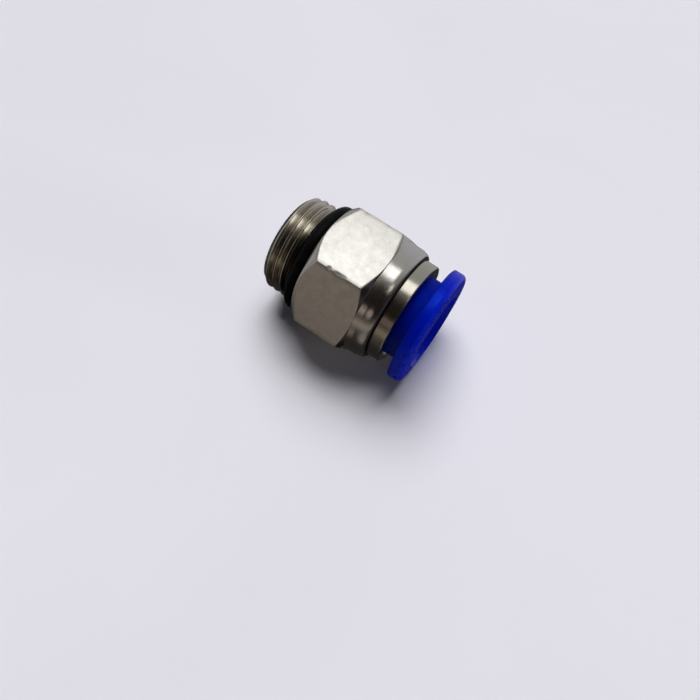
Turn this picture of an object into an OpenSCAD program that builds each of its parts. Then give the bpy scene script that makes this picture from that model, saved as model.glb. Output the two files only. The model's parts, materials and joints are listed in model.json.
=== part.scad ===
// Straight male push to connect fitting: G 3/8 thread, 10 mm tube.
// The axis lies along X with the thread towards -X and the tube port towards +X.
// The origin is on the axis, in the plane of the hexagon's thread-side face.
// The part lies on one hexagon flat, so two flats are level and Z points up.
// The body's outside runs from the hexagon to the neck's end, and all that the neck holds
// is placed back from there: collar, sleeve, claw ring, claw seat, tube seal and socket.

/* [Thread stub] */
// Major diameter of the parallel pipe thread
thread_d = 16.662; // [15:0.002:18.5]
// Thread pitch
thread_pitch = 1.337; // [1.1:0.001:1.6]
// Included angle of the thread's flanks
thread_angle = 55; // [50:1:60]
// Flat left on each crest and in each root, along the axis
thread_land = 0.22; // [0.15:0.01:0.28]
// Where the crest lies on the upper line of the stub, from the stub's end
thread_start = 0.7; // [0:0.05:1.3]
// Length of the stub, from the hexagon's face to the end
stub_len = 7.05; // [5:0.05:12]
// Axial length of the chamfer at the stub's end
stub_chamfer = 0.75; // [0.3:0.05:1]
// Depth of the relief below the thread's root
relief_depth = 0.17; // [0.05:0.01:0.4]
// Diameter of the flow passage
flow_d = 8; // [5:0.1:9]

/* [Hexagon] */
// Width across flats
hex_af = 20; // [19:0.1:24]
// Length from the thread-side face to the end of the corner edges
hex_len = 9.6; // [7:0.1:14]
// How far the round thread-side face stays inside the flats
hex_face_inset = 0.125; // [0.05:0.005:0.4]
// Angle between the thread-side chamfer and the face
hex_face_angle = 48; // [25:1:50]
// Angle between the neck-side chamfer and the face
hex_neck_angle = 30; // [25:1:45]

/* [Neck] */
// How far the neck starts inside the flats
neck_inset = 0.03; // [0.02:0.01:0.3]
// Length of the slight cone behind the hexagon
neck_cone_len = 0.9; // [0.5:0.1:3]
// How much the cone narrows the neck's radius
neck_taper = 0.14; // [0.05:0.01:0.3]
// Length of the neck's straight part
neck_len = 0.25; // [0.2:0.05:3]
// Axial length of the rounding at the neck's end
neck_round_len = 2; // [0.4:0.1:2.5]
// Radial depth of that rounding
neck_round_depth = 0.62; // [0.2:0.02:0.8]
// Least wall that the rounding leaves at the neck's end
neck_edge = 0.3; // [0.2:0.05:0.6]

/* [Tube and seals] */
// Outside diameter of the tube that the fitting takes
tube_d = 10; // [9:0.1:10.6]
// Radial clearance of the socket round the tube
socket_gap = 0.05; // [0.02:0.01:0.1]
// Length of the socket that guides the tube's end
socket_len = 2.8; // [1.5:0.1:3.5]
// Section of the tube seal
tube_seal_d = 2.06; // [1.6:0.02:2.6]
// Clearance of the squeezed tube seal round the tube, and inside its gland
tube_seal_gap = 0.03; // [0.01:0.01:0.06]
// Axial room of the gland beyond the seal's section
gland_play = 0.28; // [0.1:0.02:0.6]
// Section of the face seal
face_seal_d = 2.1; // [1.6:0.02:2.6]
// Clearance of the face seal from the relief and from the hexagon's face
face_seal_gap = 0.04; // [0.01:0.01:0.1]
// Room between the face seal and the thread
face_seal_room = 0.26; // [0.1:0.02:1]

/* [Claw ring] */
// Sheet thickness of the claw ring
claw_t = 0.35; // [0.25:0.01:0.4]
// Number of claws
claw_count = 12; // [8:1:14]
// Slope of a claw at rest, from the plane of the ring
claw_slope = 38; // [32:1:42]
// How far a claw's middle line reaches inside the tube's surface at rest
claw_bite = 0.15; // [0.1:0.01:0.2]
// Radial room from the tube's surface to the circle that the claws bend on
bend_room = 1.75; // [1.6:0.05:1.9]
// Width of a claw at its root
claw_root_w = 2.6; // [1.8:0.05:2.8]
// Width of a claw at its tip
claw_tip_w = 1.9; // [1.2:0.05:2]
// How far a claw reaches outwards past its bend
claw_heel = 0.06; // [0:0.01:0.1]
// Radial gap from the bend circle to the rim's inside
rim_gap = 0.4; // [0.35:0.01:0.5]
// Clearance of the rim on each side, and inside the cartridge bore
rim_play = 0.08; // [0.05:0.01:0.15]

/* [Claw seat] */
// Axial length of the claw seat
seat_len = 2.45; // [2.3:0.05:3]
// Radial clearance of the claw seat round the tube
seat_gap = 0.15; // [0.1:0.01:0.3]
// Length of the straight land in the claw seat
seat_land = 0.45; // [0.3:0.05:0.6]
// Step from the straight land out to the hollow
seat_step = 0.225; // [0.1:0.005:0.4]

/* [Collar] */
// Wall of the collar round the sleeve's lip
collar_wall = 0.85; // [0.6:0.05:1.2]
// How far the collar stands out over its pressed part
collar_rise = 0.34; // [0.2:0.02:0.8]
// Length of the collar outside the body
collar_len = 2.37; // [1.5:0.01:4]
// Width of the shadow line between the neck and the collar
line_w = 0.22; // [0.1:0.02:0.3]
// How far the bottom of the shadow line stands out over the pressed part
line_rise = 0.15; // [0.05:0.01:0.18]
// Length of the collar's guide for the sleeve, back from its outer end
guide_len = 3.65; // [3:0.05:5]
// Edge break on the collar's outer end
collar_break = 0.2; // [0.1:0.02:0.4]
// Chamfer at the mouth of the guide
collar_mouth = 0.35; // [0.1:0.05:0.6]

/* [Release sleeve] */
// Radial clearance of the sleeve's bore round the tube
sleeve_gap = 0.15; // [0.1:0.01:0.25]
// Wall of the sleeve's shank
shank_wall = 1.85; // [1.3:0.05:2.1]
// Radial clearance of the shank in the collar
shank_gap = 0.12; // [0.05:0.01:0.2]
// Travel of the sleeve when it is pushed
push_travel = 1.5; // [1.2:0.05:1.8]
// Room left between the flange and the collar when the sleeve is pushed in
stop_room = 0.77; // [0.3:0.01:1.5]
// How far the flange stays inside the hexagon's flats, so that the fitting lies on its flat
flange_inset = 0.2; // [0.1:0.05:1.5]
// Thickness of the flange
flange_t = 2.45; // [1.5:0.05:4]
// Rounding of the flange's front edge
flange_round = 0.8; // [0.3:0.05:1]
// Slope of the flange's front, which falls back from the mouth to that rounding
flange_slope = 5; // [1:0.5:10]
// Rounding of the flange's back edge
flange_back_round = 0.25; // [0.1:0.05:0.4]
// Radial width of the lead-in at the mouth of the sleeve's bore
sleeve_lead = 1.5; // [0.2:0.05:1.8]
// Axial length of that lead-in
lead_len = 2; // [0.5:0.05:2.4]
// Height of the retaining lip over the shank
lip_h = 0.4; // [0.3:0.02:0.6]
// Radial clearance of the lip in the collar
lip_gap = 0.15; // [0.08:0.01:0.3]
// Axial length of the lip's full diameter
lip_len = 0.55; // [0.4:0.05:0.8]
// Axial length of the lip's lead-in cone
lip_cone_len = 0.65; // [0.4:0.05:1]
// Play between the lip and the collar's shoulder
lip_play = 0.1; // [0.05:0.01:0.2]
// Wall of the sleeve's nose
nose_wall = 0.85; // [0.6:0.05:0.95]
// Length of the nose
nose_len = 1.235; // [1.1:0.005:1.6]
// Rounding of the nose
nose_round = 0.25; // [0.15:0.01:0.3]
// How far the pushed nose reaches past the plane that the claws bend in
nose_reach = 0.7; // [0.5:0.01:0.72]
// Number of slots that let the lip spring in
slot_count = 4; // [2:1:6]
// Width of a slot
slot_w = 1; // [0.5:0.1:1.4]
// Length of a slot from the tip of the nose
slot_len = 5.2; // [4:0.1:6]

/* [Hidden] */
CLAWS = [for (i = [1:claw_count]) str("claw_", i)];
$fn = 96;

nickel = "silver";
rubber = "#1c1c1e";
brass = "#c9a54a";
stainless = "#a9adb0";
blue_plastic = "#0a1fb4";

// Cuts pass the surfaces that they open by this much
through = 1;

// Thread, whose groove is cut wider than the crest by a part of the land
thread_r = thread_d / 2;
flank_slope = tan(thread_angle / 2);
thread_depth = (thread_pitch / 2 - thread_land) / flank_slope;
thread_root_r = thread_r - thread_depth;
groove_over = thread_land / 4 / flank_slope;
groove_steps = 30;
relief_r = thread_root_r - relief_depth;
relief_len = face_seal_gap + face_seal_d + face_seal_room;

// Radii from the tube outwards
tube_r = tube_d / 2;
socket_r = tube_r + socket_gap;
tube_seal_r = tube_r + tube_seal_gap + tube_seal_d / 2;
gland_r = tube_seal_r + tube_seal_d / 2 + tube_seal_gap;
sleeve_r = tube_r + sleeve_gap;
nose_r = sleeve_r + nose_wall;
shank_r = sleeve_r + shank_wall;
guide_r = shank_r + shank_gap;
lip_r = shank_r + lip_h;
collar_inside_r = lip_r + lip_gap;
cartridge_r = collar_inside_r + collar_wall;
collar_r = cartridge_r + collar_rise;
bend_r = tube_r + bend_room;
rim_r = bend_r + rim_gap;
claw_len = (bend_room + claw_bite) / cos(claw_slope);

// Hexagon, neck and flange
corner_r = hex_af / 2 / cos(30);
flange_r = hex_af / 2 - flange_inset;
hex_face_r = hex_af / 2 - hex_face_inset;
hex_face_depth = (corner_r - hex_face_r) * tan(hex_face_angle);
neck_root_r = hex_af / 2 - neck_inset;
neck_r = neck_root_r - neck_taper;
cone_start = hex_len + (corner_r - neck_root_r) * tan(hex_neck_angle);
cone_end = cone_start + neck_cone_len;
neck_round_start = cone_end + neck_len;
neck_end = neck_round_start + neck_round_len;
round_depth = min(neck_round_depth, neck_r - cartridge_r - neck_edge);

// Places along the axis, outwards and then inwards from the neck's end
collar_end = neck_end + collar_len;
flange_x = collar_end + push_travel + stop_room;
sleeve_end = flange_x + flange_t;
guide_start = collar_end - guide_len;
lip_end = guide_start - lip_play;
lip_cone_end = lip_end - lip_len;
lip_start = lip_cone_end - lip_cone_len;
nose_x = lip_start - nose_len;
bend_x = nose_x + nose_reach - push_travel;
rim_half = claw_t / 2;
collar_start = bend_x + rim_half + rim_play;
seat_end = bend_x - rim_half - rim_play;
cartridge_start = seat_end - seat_len;
gland_start = cartridge_start - tube_seal_d - gland_play;
tube_stop = gland_start - socket_len;

// Turns a profile drawn as [x along the axis, radius] about the X axis
module turned(profile) {
    rotate([0, 90, 0])
        rotate_extrude()
            polygon([for (p = profile) [p[1], p[0]]]);
}

// Points of a quarter ellipse between two angles, as [x, radius]
function quarter(x, r, dx, dr, from, to, steps = 8) =
    [for (i = [0:steps]) let (a = from + (to - from) * i / steps) [x + dx * cos(a), r + dr * sin(a)]];

// A ring of round section lying across the axis
module o_ring(x, ring_r, section_d) {
    translate([x, 0, 0])
        rotate([0, 90, 0])
            rotate_extrude()
                translate([ring_r, 0]) circle(d = section_d);
}

// Hexagon prism with its corners turned down to a cone at each end
module hexagon_block() {
    intersection() {
        rotate([0, 90, 0]) rotate(30) cylinder(r = corner_r, h = cone_start, $fn = 6);
        turned([
            [0, 0], [0, hex_face_r], [hex_face_depth, corner_r],
            [hex_len, corner_r], [cone_start, neck_root_r], [cone_start, 0]
        ]);
    }
}

// Outside of the stub, the core inside the hexagon, and the neck
module turned_outside() {
    rounding = quarter(neck_round_start, neck_r - round_depth, neck_round_len, round_depth, 90, 0);
    turned(concat(
        [
            [-stub_len, 0], [-stub_len, thread_root_r], [-stub_len + stub_chamfer, thread_r],
            [-relief_len, thread_r], [-relief_len, relief_r], [hex_len, relief_r],
            [hex_len, neck_root_r], [cone_start, neck_root_r], [cone_end, neck_r]
        ],
        rounding,
        [[neck_end, 0]]
    ));
}

// Stepped bore: flow passage, tube socket, seal gland and cartridge bore
module stepped_bore() {
    turned([
        [-stub_len - through, 0], [-stub_len - through, flow_d / 2], [tube_stop, flow_d / 2],
        [tube_stop, socket_r], [gland_start, socket_r], [gland_start, gland_r],
        [cartridge_start, gland_r], [cartridge_start, cartridge_r],
        [neck_end + through, cartridge_r], [neck_end + through, 0]
    ]);
}

// Right-hand helical groove that leaves the thread standing.
// It starts one turn before the stub's first crest and runs out in the relief.
module thread_groove() {
    out_r = thread_r + groove_over;
    root_half = thread_land / 2;
    out_half = root_half + (out_r - thread_root_r) * flank_slope;
    section = [
        [-root_half, thread_root_r], [root_half, thread_root_r], [out_half, out_r], [-out_half, out_r]
    ];
    corners = len(section);
    first_crest = -stub_len + thread_start;
    start = first_crest - thread_pitch - thread_pitch / 2;
    stop = -relief_len + out_half + thread_land;
    steps = ceil((stop - start) / thread_pitch * groove_steps);
    points = [
        for (i = [0:steps]) for (c = section)
            let (turn = -360 * i / groove_steps, x = start + thread_pitch * i / groove_steps + c[0])
            [x, c[1] * sin(turn), c[1] * cos(turn)]
    ];
    walls = [
        for (i = [0:steps - 1]) for (k = [0:corners - 1])
            let (a = i * corners + k, b = i * corners + (k + 1) % corners)
            each [[a, b + corners, b], [a, a + corners, b + corners]]
    ];
    last = steps * corners;
    polyhedron(points, concat(walls, [[0, 1, 2, 3], [last + 3, last + 2, last + 1, last]]));
}

module body() {
    color(nickel)
    difference() {
        union() {
            hexagon_block();
            turned_outside();
        }
        stepped_bore();
        thread_groove();
    }
}

module face_seal() {
    color(rubber)
    o_ring(
        -face_seal_gap - face_seal_d / 2,
        relief_r + face_seal_gap + face_seal_d / 2,
        face_seal_d
    );
}

module tube_seal() {
    color(rubber)
    o_ring((gland_start + cartridge_start) / 2, tube_seal_r, tube_seal_d);
}

// Ring that closes the seal's gland and leaves a hollow for the claws
module claw_seat() {
    inside_r = tube_r + seat_gap;
    land_end = cartridge_start + seat_land;
    color(brass)
    turned([
        [cartridge_start, inside_r], [cartridge_start, cartridge_r], [seat_end, cartridge_r],
        [seat_end, rim_r], [land_end, inside_r + seat_step], [land_end, inside_r]
    ]);
}

module claw_rim() {
    outside_r = cartridge_r - rim_play;
    color(stainless)
    turned([
        [bend_x - rim_half, rim_r], [bend_x - rim_half, outside_r],
        [bend_x + rim_half, outside_r], [bend_x + rim_half, rim_r]
    ]);
}

// One claw: a plate that slopes inwards from the bend circle, with an edge ground on its tip
module claw(index) {
    color(stainless)
    rotate([360 * index / claw_count, 0, 0])
        translate([bend_x, 0, bend_r])
            rotate([0, 90 + claw_slope, 0])
                intersection() {
                    translate([0, 0, -claw_t / 2])
                        linear_extrude(claw_t)
                            polygon([
                                [-claw_heel, -claw_root_w / 2], [claw_len, -claw_tip_w / 2],
                                [claw_len, claw_tip_w / 2], [-claw_heel, claw_root_w / 2]
                            ]);
                    rotate([90, 0, 0])
                        linear_extrude(2 * claw_root_w, center = true)
                            polygon([
                                [-claw_heel, -claw_t / 2], [claw_len, -claw_t / 2],
                                [claw_len - claw_t / 2, claw_t / 2], [-claw_heel, claw_t / 2]
                            ]);
                }
}

// Metal collar pressed into the body: it holds the claw ring in and guides the sleeve
module collar() {
    line_r = cartridge_r + line_rise;
    line_end = neck_end + line_w;
    color(nickel)
    turned([
        [collar_start, collar_inside_r], [collar_start, cartridge_r], [neck_end, cartridge_r],
        [neck_end, line_r], [line_end, line_r], [line_end, collar_r],
        [collar_end - collar_break, collar_r], [collar_end, collar_r - collar_break],
        [collar_end, guide_r + collar_mouth], [collar_end - collar_mouth, guide_r],
        [guide_start, guide_r], [guide_start, collar_inside_r]
    ]);
}

// Slots across the sleeve's inner end
module sleeve_slots() {
    for (i = [0:slot_count - 1])
        rotate([360 * (i + 0.5) / slot_count, 0, 0])
            translate([nose_x - through, -slot_w / 2, 0])
                cube([slot_len + through, slot_w, lip_r + through]);
}

module release_sleeve() {
    mouth_r = sleeve_r + sleeve_lead;
    round_r = flange_r - flange_round;
    round_x = sleeve_end - (round_r - mouth_r) * tan(flange_slope) - flange_round / cos(flange_slope);
    front = quarter(round_x, round_r, flange_round, flange_round, 90, flange_slope);
    back = quarter(
        flange_x + flange_back_round, flange_r - flange_back_round, flange_back_round, flange_back_round, 180, 90
    );
    nose = quarter(nose_x + nose_round, nose_r - nose_round, nose_round, nose_round, 180, 90);
    color(blue_plastic)
    difference() {
        turned(concat(
            [[nose_x, sleeve_r]],
            nose,
            [
                [lip_start, nose_r], [lip_cone_end, lip_r], [lip_end, lip_r],
                [lip_end, shank_r], [flange_x, shank_r]
            ],
            back,
            front,
            [[sleeve_end, mouth_r], [sleeve_end - lead_len, sleeve_r]]
        ));
        sleeve_slots();
    }
}

body();
face_seal();
tube_seal();
claw_seat();
claw_rim();
collar();
release_sleeve();
for (i = [0:claw_count - 1]) claw(i);
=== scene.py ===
import json
import math

import bpy
import numpy as np
from mathutils import Matrix, Vector

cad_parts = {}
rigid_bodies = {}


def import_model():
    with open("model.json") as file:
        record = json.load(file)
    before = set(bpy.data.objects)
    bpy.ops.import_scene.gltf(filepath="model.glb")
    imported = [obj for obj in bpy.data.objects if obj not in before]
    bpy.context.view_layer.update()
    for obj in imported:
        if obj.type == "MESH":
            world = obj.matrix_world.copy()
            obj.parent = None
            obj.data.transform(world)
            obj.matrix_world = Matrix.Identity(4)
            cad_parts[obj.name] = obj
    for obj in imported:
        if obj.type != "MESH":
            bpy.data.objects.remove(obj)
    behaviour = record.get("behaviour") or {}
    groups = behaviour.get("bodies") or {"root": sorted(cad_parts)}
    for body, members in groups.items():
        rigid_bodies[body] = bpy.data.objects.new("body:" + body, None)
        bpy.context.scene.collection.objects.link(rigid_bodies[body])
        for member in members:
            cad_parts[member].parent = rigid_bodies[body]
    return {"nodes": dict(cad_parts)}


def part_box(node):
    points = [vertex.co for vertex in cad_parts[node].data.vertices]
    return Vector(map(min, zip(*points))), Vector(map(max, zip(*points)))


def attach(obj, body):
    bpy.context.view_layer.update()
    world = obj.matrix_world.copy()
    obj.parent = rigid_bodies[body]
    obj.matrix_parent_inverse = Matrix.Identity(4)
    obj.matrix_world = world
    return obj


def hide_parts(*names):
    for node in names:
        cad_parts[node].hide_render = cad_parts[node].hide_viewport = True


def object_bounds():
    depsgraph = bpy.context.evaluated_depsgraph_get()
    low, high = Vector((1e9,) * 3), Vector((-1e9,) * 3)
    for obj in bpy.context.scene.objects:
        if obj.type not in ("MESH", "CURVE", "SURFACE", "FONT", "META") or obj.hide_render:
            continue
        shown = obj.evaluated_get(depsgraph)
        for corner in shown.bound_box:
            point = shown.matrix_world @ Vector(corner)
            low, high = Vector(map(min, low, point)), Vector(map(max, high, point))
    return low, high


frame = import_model()
cadLow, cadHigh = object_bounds()
mm = 0.001  # the pieces' sizes below are in millimetres, the studio's in metres
print("frame loaded:", len(frame["nodes"]), "nodes")


# rows by columns of points become quads; a wrapped direction joins its last line to its first
def gridFaces(rows, cols, wrapRows=True, wrapCols=True, first=0):
    i, j = np.meshgrid(np.arange(rows - (not wrapRows)), np.arange(cols - (not wrapCols)), indexing="ij")
    nextI, nextJ = (i + 1) % rows, (j + 1) % cols
    quads = np.stack([i * cols + j, nextI * cols + j, nextI * cols + nextJ, i * cols + nextJ], -1)
    return first + quads.reshape(-1, 4)


# six times the volume is the sum of a . (b x c) over the triangles
def volumeOf(points, faces):
    fans = [faces[:, [0, k, k + 1]] for k in range(1, faces.shape[1] - 1)]
    tri = np.concatenate(fans)
    a, b, c = points[tri[:, 0]], points[tri[:, 1]], points[tri[:, 2]]
    return np.einsum("ij,ij->", a, np.cross(b, c)) / 6


# points in millimetres and lists of faces become one object that rides on a body for its solids;
# faces that enclose a negative volume are turned over
def makePiece(name, points, faceSets, finish, body, stands, marks=None, crease=40):
    points = points.reshape(-1, 3)
    if sum(volumeOf(points, f) for f in faceSets) < 0:
        faceSets = [f[:, ::-1] for f in faceSets]
    mesh = bpy.data.meshes.new(name)
    mesh.from_pydata((points * mm).tolist(), [], [q for f in faceSets for q in f.tolist()])
    for label, values in (marks or {}).items():
        layer = mesh.attributes.new(label, "FLOAT", "POINT")
        layer.data.foreach_set("value", values.astype(np.float32).ravel())
    mesh.shade_smooth()
    mesh.set_sharp_from_angle(angle=math.radians(crease))
    piece = bpy.data.objects.new(name, mesh)
    bpy.context.scene.collection.objects.link(piece)
    mesh.materials.append(finish)
    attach(piece, body)
    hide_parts(*stands)


# corners [x, r] joined by straight sides: an arc of the given radius touches both sides at each corner,
# and a guard point a little way along each side keeps the smooth shading to the arc; an arc takes up no more
# than its share of a side, and a guard point no more than its share of what is left
def roundedPath(corners, radii, closed=True, steps=6, guard=0.06, arcShare=0.45, guardShare=0.3):
    p = np.array(corners, float)
    before, after = np.roll(p, 1, 0) - p, np.roll(p, -1, 0) - p
    lenB, lenA = np.linalg.norm(before, axis=1), np.linalg.norm(after, axis=1)
    u, v = before / lenB[:, None], after / lenA[:, None]
    half = np.arccos(np.clip((u * v).sum(1), -1, 1)) / 2
    reach = np.minimum(np.array(radii) / np.tan(half), arcShare * np.minimum(lenB, lenA))
    radius = reach * np.tan(half)
    middle = (u + v) / np.linalg.norm(u + v, axis=1)[:, None]
    centre = p + middle * (radius / np.sin(half))[:, None]
    start, end = p + u * reach[:, None] - centre, p + v * reach[:, None] - centre
    turn = (np.pi - 2 * half)[:, None]
    s = np.linspace(0, 1, steps + 1)
    w0, w1 = np.sin((1 - s) * turn) / np.sin(turn), np.sin(s * turn) / np.sin(turn)
    arc = centre[:, None] + w0[..., None] * start[:, None] + w1[..., None] * end[:, None]
    freeB, freeA = lenB - reach - np.roll(reach, 1), lenA - reach - np.roll(reach, -1)
    lead = p + u * (reach + np.minimum(guard, guardShare * freeB))[:, None]
    trail = p + v * (reach + np.minimum(guard, guardShare * freeA))[:, None]
    path = np.concatenate([lead[:, None], arc, trail[:, None]], 1)
    if closed:
        return path.reshape(-1, 2)
    return np.concatenate([p[:1], path[1:-1].reshape(-1, 2), p[-1:]])


# x and r, each rows by columns, turned about the X axis: (x, r cos a, r sin a)
def turned(x, r, angles):
    return np.stack([x + 0 * angles, r * np.cos(angles), r * np.sin(angles)], -1)


# a closed loop of [x, r] turned about the X axis, with one value of each mark for each of its points
def turnedRing(name, loop, finish, body, stands, columns=192, rowMarks=None):
    angles = np.linspace(0, 2 * np.pi, columns, endpoint=False)[None]
    points = turned(loop[:, :1], loop[:, 1:], angles)
    marks = {label: np.repeat(values, columns) for label, values in (rowMarks or {}).items()}
    makePiece(name, points, [gridFaces(len(loop), columns)], finish, body, stands, marks)


# shading: one call makes a node, sets its properties, and sets or links its inputs
def node(tree, kind, inputs=None, **properties):
    made = tree.nodes.new(kind)
    for key, value in properties.items():
        setattr(made, key, value)
    for key, value in (inputs or {}).items():
        if isinstance(value, bpy.types.NodeSocket):
            tree.links.new(value, made.inputs[key])
        else:
            made.inputs[key].default_value = value
    return made


def maths(tree, operation, a, b=0.0, clamp=False):
    return node(tree, "ShaderNodeMath", {0: a, 1: b}, operation=operation, use_clamp=clamp).outputs[0]


def spread(tree, value, low, high, toLow=0.0, toHigh=1.0):
    return node(tree, "ShaderNodeMapRange", {"Value": value, "From Min": low, "From Max": high,
                                             "To Min": toLow, "To Max": toHigh}).outputs["Result"]


def blendColour(tree, share, first, second):
    a, b = (c if isinstance(c, bpy.types.NodeSocket) else (*c, 1.0) for c in (first, second))
    return node(tree, "ShaderNodeMix", {0: share, 6: a, 7: b}, data_type="RGBA").outputs[2]


def noise(tree, at, scale, detail, warp=0.0):
    return node(tree, "ShaderNodeTexNoise", {"Vector": at, "Scale": scale, "Detail": detail,
                                             "Distortion": warp}).outputs["Fac"]


def newGroup(name, takes, gives):
    group = bpy.data.node_groups.new(name, "ShaderNodeTree")
    for label, kind in takes:
        group.interface.new_socket(name=label, in_out="INPUT", socket_type=kind)
    for label in gives:
        group.interface.new_socket(name=label, in_out="OUTPUT", socket_type="NodeSocketFloat")
    return group, group.nodes.new("NodeGroupInput").outputs, group.nodes.new("NodeGroupOutput").inputs


def useGroup(tree, group, **inputs):
    return node(tree, "ShaderNodeGroup", inputs, node_tree=group).outputs


number, place = "NodeSocketFloat", "NodeSocketVector"
surfaceEffects = {
    "patchDetail": 3.0, "grainTimes": 7.0, "grainDetail": 2.0, "wanderScale": 6.0, "wanderDetail": 3.0,
    "hairStretch": (0.09, 5.0, 5.0), "hairScale": 1.3, "hairMiddle": 0.66, "hairHalf": 0.008,
    "breakScale": 3.2, "breakDetail": 4.0, "breakLift": 0.35, "wornSpan": (0.45, 0.85),
    "filmDetail": 5.0, "filmWarp": 0.8, "filmSpan": (0.42, 0.66),
}


# cloudy patches and a fine grain inside them
def plateGrainGroup(s):
    group, take, give = newGroup("plateGrain", [("Place", place), ("Scale", number)], ["Patches", "Grain"])
    fineScale = maths(group, "MULTIPLY", take["Scale"], s["grainTimes"])
    group.links.new(noise(group, take["Place"], take["Scale"], s["patchDetail"]), give["Patches"])
    group.links.new(noise(group, take["Place"], fineScale, s["grainDetail"]), give["Grain"])
    return group


# rings left by the lathe: a wave over x + r, so along the axis on round walls and outwards on end faces,
# whose depth wanders
def turningLinesGroup(s):
    group, take, give = newGroup("turningLines", [("Place", place), ("Spacing", number)], ["Height"])
    at = node(group, "ShaderNodeSeparateXYZ", {0: take["Place"]}).outputs
    across = node(group, "ShaderNodeCombineXYZ", {"Y": at["Y"], "Z": at["Z"]}).outputs[0]
    radius = node(group, "ShaderNodeVectorMath", {0: across}, operation="LENGTH").outputs["Value"]
    feed = maths(group, "ADD", at["X"], radius)
    along = node(group, "ShaderNodeCombineXYZ", {"X": feed}).outputs[0]
    wander = noise(group, along, s["wanderScale"], s["wanderDetail"])
    turns = maths(group, "DIVIDE", feed, take["Spacing"])
    wave = maths(group, "SINE", maths(group, "MULTIPLY", maths(group, "ADD", turns, wander), 2 * math.pi))
    group.links.new(maths(group, "MULTIPLY", wave, wander), give["Height"])
    return group


# thin straight marks: where a stretched noise is close to one value
def hairScratchesGroup(s):
    group, take, give = newGroup("hairScratches", [("Place", place), ("Turn", number)], ["Mask"])
    turnedPlace = node(group, "ShaderNodeVectorRotate", {"Vector": take["Place"], "Angle": take["Turn"]},
                       rotation_type="Z_AXIS").outputs[0]
    thin = node(group, "ShaderNodeMapping", {"Vector": turnedPlace, "Scale": s["hairStretch"]}).outputs[0]
    lines = noise(group, thin, s["hairScale"], 0.0)
    near = maths(group, "ABSOLUTE", maths(group, "SUBTRACT", lines, s["hairMiddle"]))
    group.links.new(spread(group, near, 0.0, s["hairHalf"], 1.0, 0.0), give["Mask"])
    return group


# where an edge mark is high, broken up by noise
def wornEdgeGroup(s):
    takes = [("Edge", number), ("Place", place), ("Amount", number)]
    group, take, give = newGroup("wornEdge", takes, ["Mask"])
    broken = noise(group, take["Place"], s["breakScale"], s["breakDetail"])
    lifted = maths(group, "MULTIPLY", take["Edge"], maths(group, "ADD", broken, s["breakLift"]))
    mask = spread(group, lifted, *s["wornSpan"])
    group.links.new(maths(group, "MULTIPLY", mask, take["Amount"]), give["Mask"])
    return group


# faint greasy patches from handling
def handlingGroup(s):
    group, take, give = newGroup("handling", [("Place", place), ("Scale", number)], ["Film"])
    cloud = noise(group, take["Place"], take["Scale"], s["filmDetail"], s["filmWarp"])
    group.links.new(spread(group, cloud, *s["filmSpan"]), give["Film"])
    return group


plateGrain, turningLines = plateGrainGroup(surfaceEffects), turningLinesGroup(surfaceEffects)
hairScratches, wornEdge = hairScratchesGroup(surfaceEffects), wornEdgeGroup(surfaceEffects)
handling = handlingGroup(surfaceEffects)
print("shared surface effects ready")

noiseSpan = (0.3, 0.7)  # most of a noise lies between these


# a material with its shader, and object coordinates in millimetres
def newMaterial(name):
    made = bpy.data.materials.new(name)
    made.use_nodes = True
    tree = made.node_tree
    coords = node(tree, "ShaderNodeTexCoord").outputs["Object"]
    inMm = node(tree, "ShaderNodeVectorMath", {0: coords, 1: (1 / mm,) * 3}, operation="MULTIPLY").outputs[0]
    return made, tree, tree.nodes["Principled BSDF"], inMm


def bump(tree, height, depth, base=None):
    made = node(tree, "ShaderNodeBump", {"Height": height, "Strength": 1.0, "Distance": depth * mm})
    if base is not None:
        tree.links.new(base, made.inputs["Normal"])
    return made.outputs["Normal"]


def mark(tree, name):
    return node(tree, "ShaderNodeAttribute", attribute_name=name).outputs["Fac"]


# a roughness plus an amount of each mask, kept within 0 and 1
def roughen(tree, rough, *added):
    for mask, amount in added:
        rough = maths(tree, "ADD", rough, maths(tree, "MULTIPLY", mask, amount), clamp=True)
    return rough


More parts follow.
